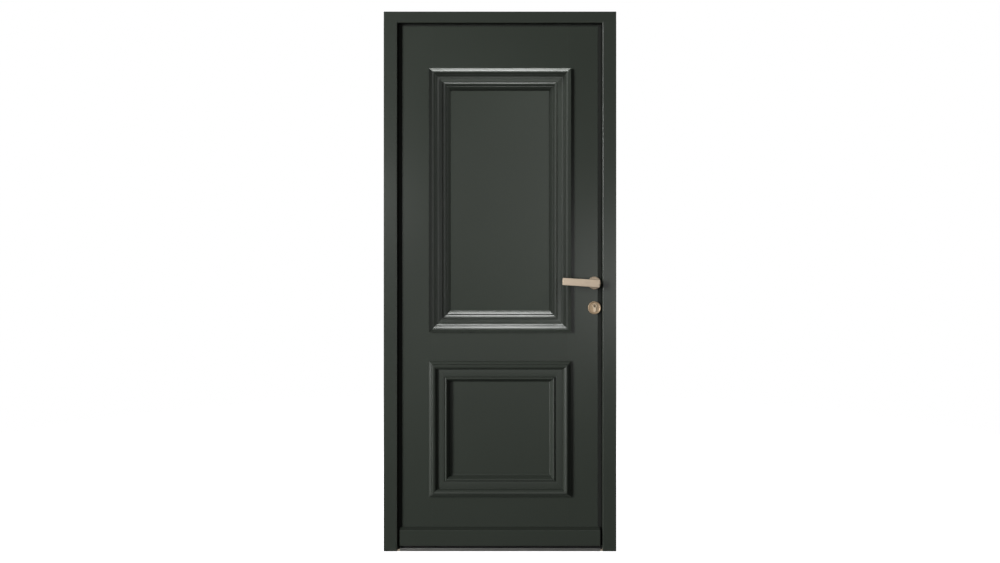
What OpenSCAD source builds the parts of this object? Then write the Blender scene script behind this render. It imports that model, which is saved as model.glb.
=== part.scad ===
// Panelled wooden front door in its frame.
// Millimetres, +Z up. X runs along the wall, +X to the right as seen from
// outside, and +Y points into the house. The origin is on the floor, half way
// across the frame and half way through the thickness of the leaf.

/* [Frame] */
// Outer width of the frame
frame_w = 935; // [885:1:1035]
// Outer height of the frame
frame_h = 2170; // [2120:1:2320]
// Width of the flat outer face of a jamb
jamb_face = 51; // [49:0.5:56]
// Height of the flat outer face of the head
head_face = 41; // [40:0.5:50]
// Depth from the outer face of the frame to the outer face of the leaf
recess = 21; // [14:0.5:34]
// Radius of the rounded inner edge of the frame
edge_r = 4; // [3:0.5:5]
// How far the frame laps over the edge of the leaf box
rebate = 20; // [19:0.5:21]
// Diameter of the holes for the screws that hold the frame in the wall
fixing_d = 10; // [8:0.5:12]

/* [Leaf] */
// Thickness of the leaf
leaf_t = 56; // [54:0.5:60]
// Gap between the edge of the leaf and the frame
leaf_gap = 4; // [3.5:0.25:5]
// Width of the two upright members of the leaf
stile_w = 154; // [140:1:165]
// Height of the top rail of the leaf
top_rail_h = 209; // [160:1:260]
// Lower edge of the rail below the upper panel
lock_rail_z = 751; // [700:1:780]
// Height of the rail below the upper panel
lock_rail_h = 140; // [120:1:144]
// Height of the bottom rail of the leaf
bottom_rail_h = 209; // [180:1:260]
// How far the panels lie back from the face of the leaf
panel_recess = 11; // [9:0.5:13]

/* [Mouldings] */
// Width of the mouldings on the outside
moulding_w = 87; // [86:0.5:88]
// Width of the mouldings on the inside
inside_moulding_w = 60; // [59:0.5:62]
// How far the mouldings lap over the members of the leaf
moulding_lap = 12; // [10:0.5:14]

/* [Weatherboard and threshold] */
// Length of the weatherboard
weatherboard_l = 805; // [780:1:814]
// How far the weatherboard stands out from the leaf
weatherboard_d = 26; // [22:0.5:28]
// Height of the upright front of the weatherboard, lower edge to slope
weatherboard_h = 64; // [50:1:75]
// Height of the threshold
threshold_h = 11.5; // [10:0.25:11.75]

/* [Handle and lock] */
// Distance from the edge of the leaf to the axis of the lever
backset = 47; // [45:0.5:50]
// Height of the lever axis above the floor
lever_z = 1078; // [1060:1:1100]
// Distance from the lever axis down to the axis of the key
key_spacing = 92; // [90:1:95]
// Diameter of the roses under the levers and round the cylinder
rose_d = 52; // [48:0.5:52]
// Length of a lever from its axis to its free end
lever_l = 132; // [110:1:140]
// Height of the flat bar of a lever
lever_h = 30; // [24:0.5:31]
// Angle by which the free end of a lever stands above level, in degrees
lever_tilt = 3.5; // [0:0.1:4]

/* [Hinges] */
// Height of one hinge
hinge_h = 130; // [120:1:140]
// Diameter of the hinge knuckles
knuckle_d = 18; // [16:0.5:18]
// Diameter of the hinge pins
pin_d = 10; // [8:0.5:11]

/* [Hidden] */

$fn = 96;
e = 0.1;                                   // overshoot of a cut

// depths
y_out = -leaf_t/2;                         // outer face of the leaf
y_in = leaf_t/2;                           // inner face of the leaf and of the frame
y_frame = y_out - recess;                  // outer face of the frame
y_floor = y_out + 10;                      // floor of the rebate round the leaf
y_stop = y_floor - 5;                      // back of the stop on the frame
y_panel = y_out + panel_recess;            // outer face of the panels
y_lock = (y_floor + y_in)/2;               // middle of the lock

// widths, as half widths from the middle
x_frame = frame_w/2;
x_reveal = x_frame - jamb_face - edge_r;   // inner wall of a jamb
x_cheek = x_reveal + rebate;               // wall beside the leaf
x_leaf = x_cheek - leaf_gap;               // edge of the leaf
x_face = x_reveal - 17.5;                  // edge of the raised face of the leaf
x_open = x_leaf - stile_w;                 // panel opening

// heights
z_joint = frame_h - head_face;             // where the jambs meet the head
z_reveal = z_joint - edge_r;
z_cheek = z_reveal + rebate;
z_leaf = z_cheek - leaf_gap;               // top of the leaf
z_face = z_reveal - 9;                     // top of the raised face
z_foot = 18;                               // bottom of the leaf
z_low0 = z_foot + bottom_rail_h;           // lower panel opening
z_low1 = lock_rail_z;
z_up0 = lock_rail_z + lock_rail_h;         // upper panel opening
z_up1 = z_leaf - top_rail_h;
z_board = 23;                              // underside of the weatherboard

groove = 12;                               // depth of the panel grooves
tenon_l = 50;
tenon_t = 16;

// lock and handle
x_lever = x_leaf - backset;
key_z = lever_z - key_spacing;
rose_t = 9.5;
neck_d = 22;
lever_t = 10;
lever_reach = 48;                          // leaf face to the back of the lever bar
spindle_a = 8;
case_t = 16;
case_x = x_leaf - 3;                       // front of the lock case, behind the faceplate
case_w = 75.5;
case_z0 = 935;
case_z1 = lever_z + 58;
latch_z = lever_z + 25;
bolt_z = lever_z - 47;
plug_d = 13;

// hinges
x_pin = -(x_cheek + x_leaf)/2;
y_pin = y_in + knuckle_d/2 + 0.5;
wing_t = 2.5;
wing_y0 = -4;
hinge_z = [200, 1000, z_leaf - 351];       // bottom, middle, top
split = hinge_h/2;                         // frame knuckle below, leaf knuckle above
screw_at = [[6, 0.15], [18, 0.5], [6, 0.85]];

// wall fixings
fixing_z = [120, 620, 1450, frame_h - 130];
y_fixing = 3;

// keeper of the latch
x_keeper = x_cheek + 18;
y_keeper = y_lock + 8.5;

paint = [0.22, 0.24, 0.215];
metal = [0.72, 0.66, 0.58];
steel = [0.62, 0.63, 0.64];
black = [0.06, 0.06, 0.06];
alu = [0.78, 0.78, 0.77];
beige = [0.72, 0.67, 0.58];

function ell(cx, cy, rx, ry, a0, a1, n) =
  [for (i = [0:n]) let (a = a0 + (a1 - a0)*i/n) [cx + rx*cos(a), cy + ry*sin(a)]];

// ---------- small helpers ----------
module box(a, b) { translate(a) cube(b - a); }

// a bar along X from a profile given as [y, z]
module along_x(x0, x1) {
  translate([x0, 0, 0]) rotate([90, 0, 90]) linear_extrude(x1 - x0) children();
}

// a cylinder along Y from y0 to y1
module rod_y(x, z, d, y0, y1) {
  translate([x, y0, z]) rotate([-90, 0, 0]) cylinder(d = d, h = y1 - y0);
}

// a cylinder along X from x0 to x1
module rod_x(y, z, d, x0, x1) {
  translate([x0, y, z]) rotate([0, 90, 0]) cylinder(d = d, h = x1 - x0);
}

// a countersunk screw whose head lies at x = 0 and whose shank runs along +X
module screw_x(d, l, head_d, head_h) {
  rotate([0, 90, 0]) union() {
    cylinder(d1 = head_d, d2 = d, h = head_h);
    cylinder(d = d, h = l);
  }
}

// the outline of a profile cylinder, round above and a web below
module cylinder_outline(grow) {
  circle(d = 17 + 2*grow);
  translate([-5 - grow, -19.5]) square([10 + 2*grow, 19.5]);
  translate([0, -19.5]) circle(d = 10 + 2*grow);
}

// the cylinder outline along Y, its key axis at x, z
module cylinder_prism(x, z, grow, y0, y1) {
  translate([x, y1, z]) rotate([90, 0, 0]) linear_extrude(y1 - y0) cylinder_outline(grow);
}

// ---------- frame ----------
// what the rounded inner edge takes off the jambs and the head, mitred in the corners
module flare() {
  round_edge = ell(edge_r, edge_r, edge_r, edge_r, 270, 180, 8);
  intersection() {
    translate([0, 0, -e]) linear_extrude(frame_h) polygon(concat(
      [for (p = round_edge) [x_reveal + p[0], y_frame + p[1]]],
      [for (i = [8:-1:0]) [-x_reveal - round_edge[i][0], y_frame + round_edge[i][1]]],
      [[-x_reveal - edge_r, y_frame - e], [x_reveal + edge_r, y_frame - e]]));
    along_x(-x_frame, x_frame) polygon(concat(
      [[y_frame + edge_r, -2*e]],
      [for (i = [8:-1:0]) [y_frame + round_edge[i][1], z_reveal + round_edge[i][0]]],
      [[y_frame - 2*e, z_joint], [y_frame - 2*e, -2*e]]));
  }
}

// a jamb on the +X side
module jamb_blank() {
  difference() {
    union() {
      box([x_reveal, y_frame, 0], [x_frame, y_stop, z_joint]);
      box([x_cheek, y_stop - 1, 0], [x_frame, y_in, z_joint]);
      box([x_frame - 24, y_frame + 22, z_joint - 1], [x_frame - 10, y_in - 18, z_joint + 22]);
    }
    for (z = fixing_z) rod_x(y_fixing, z, fixing_d, x_cheek - 1, x_frame + 1);
  }
}

module hinge_jamb() {
  color(paint) difference() {
    mirror([1, 0, 0]) jamb_blank();
    flare();
    for (z = hinge_z) {
      box([-x_cheek - wing_t, wing_y0, z], [-x_cheek + 1, y_in + 1, z + hinge_h]);
      for (s = screw_at) translate([-x_cheek, s[0], z + s[1]*hinge_h]) rotate([0, 0, 180]) screw_x(4.5, 28.1, 8.5, 2);
    }
  }
}

module lock_jamb() {
  color(paint) difference() {
    jamb_blank();
    flare();
    // seat of the strike plate, pocket of the dead bolt, pocket of the latch and its keeper
    box([x_cheek - 1, y_lock - 11, bolt_z - 45], [x_cheek + 2.5, y_in + 1, latch_z + 48]);
    box([x_cheek, y_lock - 7, bolt_z - 18], [x_cheek + 20.5, y_lock + 7, bolt_z + 18]);
    box([x_cheek, y_lock - 6.5, latch_z - 18], [x_cheek + 23.5, y_in + 1, latch_z + 18]);
    translate([x_keeper, y_keeper, latch_z - 24]) cylinder(d = 5.1, h = 48);
    for (z = [bolt_z - 35, latch_z + 38]) translate([x_cheek, y_lock, z]) screw_x(4, 25.1, 7.5, 2);
  }
}

module head() {
  color(paint) difference() {
    union() {
      difference() {
        box([-x_frame, y_frame, z_joint], [x_frame, y_in, frame_h]);
        box([-x_cheek, y_stop, z_joint - 1], [x_cheek, y_in + 1, z_cheek]);
      }
      box([-x_reveal, y_frame, z_reveal], [x_reveal, y_stop, z_joint + 1]);
    }
    flare();
    for (s = [0, 1]) mirror([s, 0, 0])
      box([x_frame - 24.2, y_frame + 21.8, z_joint - 1], [x_frame - 9.8, y_in - 17.8, z_joint + 22.2]);
  }
}

// an upright lip outside and a hollow tread under the leaf
module threshold() {
  color(alu) difference() {
    union() {
      along_x(-x_reveal + 9.5, x_reveal - 9.5) polygon([
        [y_frame + 1, 0], [y_frame + 1, threshold_h - 0.8], [y_frame + 1.8, threshold_h],
        [y_frame + 4.2, threshold_h], [y_frame + 4.8, 4], [y_frame + 4.8, 0]]);
      box([-x_cheek + 0.2, y_stop + 8, 0], [x_cheek - 0.2, y_in, threshold_h]);
    }
    box([-x_cheek, -14, 2], [x_cheek, 20, threshold_h - 2]);
  }
}

// the plastic length between the lip and the tread, with the drain channel in it
module threshold_break() {
  color(black) {
    along_x(-x_reveal + 9.6, x_reveal - 9.6) polygon([
      [y_frame + 4.9, 0], [y_frame + 4.9, 3.8], [y_frame + 11, 3.8], [y_frame + 11, 0]]);
    box([-x_reveal + 0.2, y_frame + 10, 0], [x_reveal - 0.2, y_stop + 1, 3.8]);
    box([-x_cheek + 0.2, y_stop + 0.2, 0], [x_cheek - 0.2, y_stop + 7.9, threshold_h]);
  }
}

module threshold_end_caps() {
  color(beige) for (s = [0, 1]) mirror([s, 0, 0])
    box([x_reveal - 9.4, y_frame + 1.5, 0], [x_reveal - 0.2, y_frame + 9.9, 7]);
}

module strike_plate() {
  color(steel) difference() {
    box([x_cheek, y_lock - 11, bolt_z - 45], [x_cheek + 2.5, y_in, latch_z + 48]);
    box([x_cheek - 1, y_lock - 7, bolt_z - 18], [x_cheek + 4, y_lock + 7, bolt_z + 18]);
    box([x_cheek - 1, y_lock - 6.5, latch_z - 18], [x_cheek + 4, y_in + 1, latch_z + 18]);
    for (z = [bolt_z - 35, latch_z + 38]) translate([x_cheek, y_lock, z]) screw_x(4.1, 25, 7.6, 2);
  }
}

module strike_screws() {
  color(steel) for (z = [bolt_z - 35, latch_z + 38])
    translate([x_cheek + 0.1, y_lock, z]) screw_x(3.9, 24.8, 7.3, 1.9);
}

// shown swung clear of the latch; it turns on its two trunnions
module latch_keeper() {
  color(steel) union() {
    translate([x_keeper, y_keeper, latch_z - 23.5]) cylinder(d = 5, h = 47);
    translate([x_keeper, y_keeper, latch_z - 16]) cylinder(d = 9, h = 32);
    box([x_keeper - 2.3, y_keeper, latch_z - 16], [x_keeper + 2.3, y_keeper + 16, latch_z + 16]);
  }
}

// ---------- hinges ----------
module hinge_frame_half(z) {
  color(steel) difference() {
    union() {
      box([-x_cheek - wing_t, wing_y0, z], [-x_cheek, y_in, z + hinge_h]);
      box([-x_cheek - wing_t, y_in - 1, z], [-x_cheek, y_pin, z + split - 0.5]);
      translate([x_pin, y_pin, z]) cylinder(d = knuckle_d, h = split - 0.5);
    }
    translate([x_pin, y_pin, z + 6]) cylinder(d = pin_d + 0.06, h = split);
    for (s = screw_at) translate([-x_cheek, s[0], z + s[1]*hinge_h]) rotate([0, 0, 180]) screw_x(4.6, 10, 8.6, 2);
  }
}

module hinge_leaf_half(z) {
  color(steel) difference() {
    union() {
      box([-x_leaf, wing_y0, z], [-x_leaf + wing_t, y_in, z + hinge_h]);
      box([-x_leaf, y_in - 1, z + split + 0.5], [-x_leaf + wing_t, y_pin, z + hinge_h]);
      translate([x_pin, y_pin, z + split + 0.5]) cylinder(d = knuckle_d, h = split - 0.5);
    }
    translate([x_pin, y_pin, z + split]) cylinder(d = pin_d + 0.1, h = split - 6);
    for (s = screw_at) translate([-x_leaf, s[0], z + s[1]*hinge_h]) screw_x(4.6, 10, 8.6, 2);
  }
}

module top_hinge_frame_half() { hinge_frame_half(hinge_z[2]); }
module middle_hinge_frame_half() { hinge_frame_half(hinge_z[1]); }
module bottom_hinge_frame_half() { hinge_frame_half(hinge_z[0]); }
module top_hinge_leaf_half() { hinge_leaf_half(hinge_z[2]); }
module middle_hinge_leaf_half() { hinge_leaf_half(hinge_z[1]); }
module bottom_hinge_leaf_half() { hinge_leaf_half(hinge_z[0]); }

module hinge_pins() {
  color(steel) for (z = hinge_z) translate([x_pin, y_pin, z + 6]) cylinder(d = pin_d, h = hinge_h - 14);
}

module frame_hinge_screws() {
  color(steel) for (z = hinge_z, s = screw_at)
    translate([-x_cheek - 0.1, s[0], z + s[1]*hinge_h]) rotate([0, 0, 180]) screw_x(4.4, 27.8, 8.2, 1.9);
}

module leaf_hinge_screws() {
  color(steel) for (z = hinge_z, s = screw_at)
    translate([-x_leaf + 0.1, s[0], z + s[1]*hinge_h]) screw_x(4.4, 27.8, 8.2, 1.9);
}

// ---------- leaf ----------
// an upright member on the +X side, with panel grooves and mortises
module stile_blank() {
  difference() {
    union() {
      box([x_open, y_floor, z_foot], [x_leaf, y_in, z_leaf]);
      box([x_open, y_out, z_foot], [x_face, y_floor + 1, z_face]);
    }
    for (z = [[z_low0, z_low1], [z_up0, z_up1]])
      box([x_open - 1, y_panel - 0.2, z[0] - groove], [x_open + groove, -y_panel + 0.2, z[1] + groove]);
    for (z = [[z_foot, z_low0], [z_low1, z_up0], [z_up1, z_leaf]])
      box([x_open - 1, -tenon_t/2 - 0.1, z[0] + 24.9], [x_open + tenon_l + 0.3, tenon_t/2 + 0.1, z[1] - 24.9]);
  }
}

module hinge_stile() {
  color(paint) difference() {
    mirror([1, 0, 0]) stile_blank();
    for (z = hinge_z) {
      box([-x_leaf - 1, wing_y0, z], [-x_leaf + wing_t, y_in + 1, z + hinge_h]);
      for (s = screw_at) translate([-x_leaf, s[0], z + s[1]*hinge_h]) screw_x(4.5, 28.1, 8.5, 2);
    }
  }
}

module lock_stile() {
  color(paint) difference() {
    stile_blank();
    box([case_x - case_w - 0.5, y_lock - case_t/2 - 0.3, case_z0 - 0.5], [x_leaf + 1, y_lock + case_t/2 + 0.3, case_z1 + 0.5]);
    box([case_x, y_lock - 10.1, case_z0 - 20.1], [x_leaf + 1, y_lock + 10.1, case_z1 + 20.1]);
    rod_y(x_lever, lever_z, 20, y_out - 1, y_in + 1);
    cylinder_prism(x_lever, key_z, 0.4, y_out - 1, y_in + 1);
    for (z = [case_z0 - 10, case_z1 + 10]) translate([x_leaf, y_lock, z]) mirror([1, 0, 0]) screw_x(4.1, 30.1, 7.6, 2);
  }
}

// a rail between the stiles from z0 to z1, grooved below and above for the panels
module rail(z0, z1, below, above, face_top) {
  color(paint) difference() {
    union() {
      box([-x_open, y_floor, z0], [x_open, y_in, z1]);
      box([-x_open, y_out, z0], [x_open, y_floor + 1, face_top]);
      box([-x_open - tenon_l, -tenon_t/2, z0 + 25], [x_open + tenon_l, tenon_t/2, z1 - 25]);
    }
    if (below) box([-x_open - 1, y_panel - 0.2, z0 - 1], [x_open + 1, -y_panel + 0.2, z0 + groove]);
    if (above) box([-x_open - 1, y_panel - 0.2, z1 - groove], [x_open + 1, -y_panel + 0.2, z1 + 1]);
  }
}

module top_rail() { rail(z_up1, z_leaf, true, false, z_face); }
module lock_rail() { rail(z_low1, z_up0, true, true, z_up0); }
module bottom_rail() { rail(z_foot, z_low0, false, true, z_low0); }

module panel(z0, z1) {
  color(paint) box([-x_open - groove + 2, y_panel, z0 - groove + 2], [x_open + groove - 2, -y_panel, z1 + groove - 2]);
}
module upper_panel() { panel(z_up0, z_up1); }
module lower_panel() { panel(z_low0, z_low1); }

// ---------- mouldings ----------
// sections as [distance in from the outer edge, height over the face of the leaf]
foot = [[moulding_lap + 0.4, -panel_recess], [moulding_lap + 0.4, 0], [0, 0]];

upper_section = concat(
  [[0, 12]], ell(1.6, 12.4, 1.6, 1.6, 172, 128, 3), ell(15, 21, 3.4, 3.8, 128, 62, 5),
  [[20.5, 21.6], [25.8, 16.2], [26.2, 13.6], [27.6, 13.2], [31.4, 9], [36, 6.2], [41.4, 5], [53.6, 5],
   [54.2, 3.2], [56.4, 3.2], [57, 5], [57.4, 8.4]],
  ell(61.8, 8.6, 4.4, 4.4, 165, 50, 6),
  [[70, 7], [70.3, 4.4], [72.2, 4.2], [73.2, 6.4], [74.2, 6], [83.6, -3.6], [84.4, -8], [moulding_w - 1, -9.5], [moulding_w, -panel_recess]],
  foot);

lower_section = concat(
  [[0, 8]], ell(1.6, 8.6, 1.6, 1.6, 172, 122, 3), [[9.2, 14.9], [10.4, 15.3], [11.1, 14.8], [12, 14.8]],
  ell(16.8, 15, 4.6, 9, 172, 92, 6), ell(16.8, 9, 15.8, 15, 88, 8, 9),
  [[33, 7.4], [34.6, 7.4], [35, 8], [61.8, 8], [62.3, 6.2], [63.8, 6.2], [64.2, 8.2]],
  ell(69.2, 8.4, 5, 4.6, 172, 30, 7),
  [[78.6, 2.6], [80.6, -1.4], [82.4, -5], [83.2, -8.6], [moulding_w - 1, -9.4], [moulding_w, -panel_recess]],
  foot);

inside_section = concat(
  [[0, 5]], ell(8, 5, 8, 8, 170, 90, 6),
  [[14, 12.4], [20, 9.6], [26, 6.4], [30, 5], [44, 5], [44.6, 7]],
  ell(48, 6, 3.4, 3.4, 160, 30, 5),
  [[57, 1.6], [inside_moulding_w, -4], [inside_moulding_w, -panel_recess]],
  foot);

// a moulding of length l along X, outer edge at z = 0, standing out towards -Y, mitred at both ends
module strip(section, l) {
  w = moulding_w + 5;
  m = 0.1;
  intersection() {
    rotate([180, -90, 0]) linear_extrude(l) polygon(section);
    rotate([90, 0, 0]) linear_extrude(200, center = true)
      polygon([[m - 5, -5], [l - m + 5, -5], [l - m - w, w], [m + w, w]]);
  }
}

// one side of a moulding frame: 0 bottom, 1 right, 2 top, 3 left
module moulding(section, side, z0, z1) {
  xo = x_open + moulding_lap;
  a = z0 - moulding_lap;
  b = z1 + moulding_lap;
  start = [[-xo, a], [xo, a], [xo, b], [-xo, b]][side];
  color(paint) translate([start[0], y_out, start[1]]) rotate([0, -90*side, 0])
    strip(section, side % 2 == 0 ? 2*xo : b - a);
}

module upper_moulding_bottom() { moulding(upper_section, 0, z_up0, z_up1); }
module upper_moulding_right() { moulding(upper_section, 1, z_up0, z_up1); }
module upper_moulding_top() { moulding(upper_section, 2, z_up0, z_up1); }
module upper_moulding_left() { moulding(upper_section, 3, z_up0, z_up1); }
module lower_moulding_bottom() { moulding(lower_section, 0, z_low0, z_low1); }
module lower_moulding_right() { moulding(lower_section, 1, z_low0, z_low1); }
module lower_moulding_top() { moulding(lower_section, 2, z_low0, z_low1); }
module lower_moulding_left() { moulding(lower_section, 3, z_low0, z_low1); }
module inside_upper_moulding_bottom() { mirror([0, 1, 0]) moulding(inside_section, 0, z_up0, z_up1); }
module inside_upper_moulding_right() { mirror([0, 1, 0]) moulding(inside_section, 1, z_up0, z_up1); }
module inside_upper_moulding_top() { mirror([0, 1, 0]) moulding(inside_section, 2, z_up0, z_up1); }
module inside_upper_moulding_left() { mirror([0, 1, 0]) moulding(inside_section, 3, z_up0, z_up1); }
module inside_lower_moulding_bottom() { mirror([0, 1, 0]) moulding(inside_section, 0, z_low0, z_low1); }
module inside_lower_moulding_right() { mirror([0, 1, 0]) moulding(inside_section, 1, z_low0, z_low1); }
module inside_lower_moulding_top() { mirror([0, 1, 0]) moulding(inside_section, 2, z_low0, z_low1); }
module inside_lower_moulding_left() { mirror([0, 1, 0]) moulding(inside_section, 3, z_low0, z_low1); }

// ---------- weatherboard and seals ----------
module weatherboard() {
  f = y_out - weatherboard_d;
  t = z_board + weatherboard_h;
  color(paint) along_x(-weatherboard_l/2, weatherboard_l/2) polygon(concat(
    [[y_out, z_board], [y_out, t + 6]],
    ell(f + 2.5, t - 2.5, 2.5, 2.5, 104, 180, 5),
    ell(f + 1.5, z_board + 1.5, 1.5, 1.5, 180, 270, 3),
    [[f + 5, z_board], [f + 5, z_board + 4], [f + 9, z_board + 4], [f + 9, z_board]]));
}

// a broad lip that fills the gap to the frame, on a strip that lies behind the stop
module leaf_seal() {
  color(black) difference() {
    union() {
      box([-x_leaf + 1.5, y_floor - 4.4, z_foot], [x_leaf - 1.5, y_floor, z_leaf - 1]);
      box([-x_reveal + 1.2, y_out + 0.6, z_foot], [x_reveal - 1.2, y_floor, z_reveal - 1.2]);
    }
    box([-x_face - 0.6, y_out - 1, z_foot - 1], [x_face + 0.6, y_floor + 1, z_face + 0.6]);
  }
}

module bottom_seal() {
  color(black) box([-x_leaf + 3, -10, threshold_h + 0.5], [x_leaf - 3, 10, z_foot]);
}

// ---------- lock ----------
module lock_case() {
  y0 = y_lock - case_t/2;
  y1 = y_lock + case_t/2;
  color(steel) difference() {
    box([case_x - case_w, y0, case_z0], [case_x, y1, case_z1]);
    box([case_x - case_w + 2, y0 + 2, case_z0 + 2], [case_x - 2, y1 - 2, case_z1 - 2]);
    box([case_x - 3, y_lock - 5.8, latch_z - 15.3], [case_x + 1, y_lock + 5.8, latch_z + 15.3]);
    box([case_x - 3, y_lock - 5.3, bolt_z - 15.3], [case_x + 1, y_lock + 5.3, bolt_z + 15.3]);
    rod_y(x_lever, lever_z, 18.4, y0 - 1, y1 + 1);
    cylinder_prism(x_lever, key_z, 0.5, y0 - 1, y1 + 1);
    rod_x(y_lock, key_z - 20.5, 5.6, case_x - 3, case_x + 1);
  }
}

module lock_faceplate() {
  color(steel) difference() {
    box([case_x, y_lock - 10, case_z0 - 20], [x_leaf, y_lock + 10, case_z1 + 20]);
    box([case_x - 1, y_lock - 5.8, latch_z - 15.3], [x_leaf + 1, y_lock + 5.8, latch_z + 15.3]);
    box([case_x - 1, y_lock - 5.3, bolt_z - 15.3], [x_leaf + 1, y_lock + 5.3, bolt_z + 15.3]);
    for (z = [case_z0 - 10, case_z1 + 10]) translate([x_leaf, y_lock, z]) mirror([1, 0, 0]) screw_x(4.1, 10, 7.6, 2);
    translate([x_leaf, y_lock, key_z - 20.5]) mirror([1, 0, 0]) screw_x(5.2, 10, 8.6, 2);
  }
}

module faceplate_screws() {
  color(steel) for (z = [case_z0 - 10, case_z1 + 10])
    translate([x_leaf - 0.1, y_lock, z]) mirror([1, 0, 0]) screw_x(3.9, 29.8, 7.3, 1.9);
}

module latch_bolt() {
  // the head is bevelled towards the outside, the side that meets the frame first as the leaf shuts
  color(steel) difference() {
    union() {
      translate([0, 0, latch_z - 15]) linear_extrude(30) polygon([
        [case_x - 22, y_lock - 5.5], [x_leaf + 1.2, y_lock - 5.5], [x_leaf + 11, y_lock + 3],
        [x_leaf + 12, y_lock + 4.6], [x_leaf + 12, y_lock + 5.5], [case_x - 22, y_lock + 5.5]]);
      box([x_lever - 14.5, y_lock - 3, latch_z - 12], [case_x - 21, y_lock + 3, latch_z + 5]);
    }
    box([x_lever - 7, y_lock - 6, latch_z - 16], [x_lever + 7, y_lock + 6, latch_z - 1]);
  }
}

module dead_bolt() {
  color(steel) box([x_lever - 11.5, y_lock - 5, bolt_z - 15], [x_leaf - 0.2, y_lock + 5, bolt_z + 15]);
}

module lock_follower() {
  color(steel) difference() {
    union() {
      rod_y(x_lever, lever_z, 18, y_lock - case_t/2, y_lock + case_t/2);
      box([x_lever - 4, y_lock - 4, lever_z], [x_lever + 4, y_lock + 4, lever_z + 21]);
    }
    box([x_lever - spindle_a/2 - 0.1, y_in - 60, lever_z - spindle_a/2 - 0.1],
        [x_lever + spindle_a/2 + 0.1, y_in, lever_z + spindle_a/2 + 0.1]);
  }
}

module cylinder_body() {
  color(metal) difference() {
    cylinder_prism(x_lever, key_z, 0, y_out - rose_t - 2.5, y_in + rose_t + 2.5);
    rod_y(x_lever, key_z, plug_d + 0.1, y_out - 20, y_in + 20);
    box([x_lever - 12, y_lock - 5.2, key_z - 16.5], [x_lever + 12, y_lock + 5.2, key_z + 12]);
    rod_x(y_lock, key_z - 20.5, 5.1, x_lever - 12, x_lever + 12);
  }
}

module cylinder_screw() {
  color(steel) translate([x_leaf - 0.1, y_lock, key_z - 20.5]) mirror([1, 0, 0])
    screw_x(4.9, backset + 3.5, 8.3, 1.9);
}

module cylinder_plug() {
  y0 = y_out - rose_t - 2.9;
  y1 = y_in + rose_t + 2.9;
  color(metal) difference() {
    union() {
      rod_y(x_lever, key_z, plug_d, y0, y1);
      rod_y(x_lever, key_z, 16.4, y_lock - 4.5, y_lock + 4.5);
      box([x_lever - 3, y_lock - 4.5, key_z - 15], [x_lever + 3, y_lock + 4.5, key_z]);
    }
    for (y = [[y0 - 1, y0 + 26], [y1 - 26, y1 + 1]])
      box([x_lever - 1.1, y[0], key_z - 4.6], [x_lever + 1.1, y[1], key_z + 3.8]);
  }
}

// ---------- handles ----------
// a rose on the outside face, its axis along Y
module rose(z) {
  translate([x_lever, y_out, z]) rotate([90, 0, 0]) rotate_extrude()
    polygon(concat([[0, 0], [rose_d/2, 0]],
      ell(rose_d/2 - 2.5, rose_t - 2.5, 2.5, 2.5, 0, 90, 6), [[0, rose_t]]));
}

module lever_rose() {
  difference() {
    rose(lever_z);
    rod_y(x_lever, lever_z, neck_d + 0.6, y_out - rose_t - 1, y_out + 1);
  }
}

module key_rose() {
  difference() {
    rose(key_z - 8);
    cylinder_prism(x_lever, key_z, 0.3, y_out - rose_t - 1, y_out + 1);
  }
}

module outside_lever_rose() { color(metal) lever_rose(); }
module inside_lever_rose() { color(metal) mirror([0, 1, 0]) lever_rose(); }
module outside_key_rose() { color(metal) key_rose(); }
module inside_key_rose() { color(metal) mirror([0, 1, 0]) key_rose(); }

// the lever on the outside: a flat bar on a round neck, with a square socket for the spindle
module lever() {
  h = lever_h/2;
  back = y_out - lever_reach;
  translate([x_lever, 0, lever_z]) difference() {
    union() {
      rotate([0, lever_tilt, 0]) translate([0, back, 0]) rotate([90, 0, 0]) linear_extrude(lever_t)
        polygon(concat(
          ell(-lever_l + 3, h - 3.7, 3, 3, 180, 90, 5), ell(13.5, h - 3, 3, 3, 90, 0, 6),
          ell(11.5, -h + 4.5, 5, 5, 0, -90, 8), ell(-lever_l + 3, -h + 3.7, 3, 3, 270, 180, 5)));
      rod_y(0, 0, neck_d, back - 2, y_out - 4);
    }
    box([-spindle_a/2 - 0.1, back + 4, -spindle_a/2 - 0.1], [spindle_a/2 + 0.1, y_out, spindle_a/2 + 0.1]);
  }
}

module outside_lever() { color(metal) lever(); }
module inside_lever() { color(metal) mirror([0, 1, 0]) lever(); }

module spindle() {
  l = -y_out + lever_reach - 6;
  color(steel) box([x_lever - spindle_a/2, -l, lever_z - spindle_a/2], [x_lever + spindle_a/2, l, lever_z + spindle_a/2]);
}

hinge_jamb();
lock_jamb();
head();
threshold();
threshold_break();
threshold_end_caps();
strike_plate();
strike_screws();
latch_keeper();
top_hinge_frame_half();
middle_hinge_frame_half();
bottom_hinge_frame_half();
hinge_pins();
frame_hinge_screws();
hinge_stile();
lock_stile();
top_rail();
lock_rail();
bottom_rail();
upper_panel();
lower_panel();
upper_moulding_top();
upper_moulding_bottom();
upper_moulding_left();
upper_moulding_right();
lower_moulding_top();
lower_moulding_bottom();
lower_moulding_left();
lower_moulding_right();
inside_upper_moulding_top();
inside_upper_moulding_bottom();
inside_upper_moulding_left();
inside_upper_moulding_right();
inside_lower_moulding_top();
inside_lower_moulding_bottom();
inside_lower_moulding_left();
inside_lower_moulding_right();
weatherboard();
leaf_seal();
bottom_seal();
top_hinge_leaf_half();
middle_hinge_leaf_half();
bottom_hinge_leaf_half();
leaf_hinge_screws();
lock_case();
lock_faceplate();
faceplate_screws();
cylinder_body();
cylinder_screw();
cylinder_plug();
outside_lever_rose();
inside_lever_rose();
outside_key_rose();
inside_key_rose();
outside_lever();
inside_lever();
spindle();
lock_follower();
latch_bolt();
dead_bolt();
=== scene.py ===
import math

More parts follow.
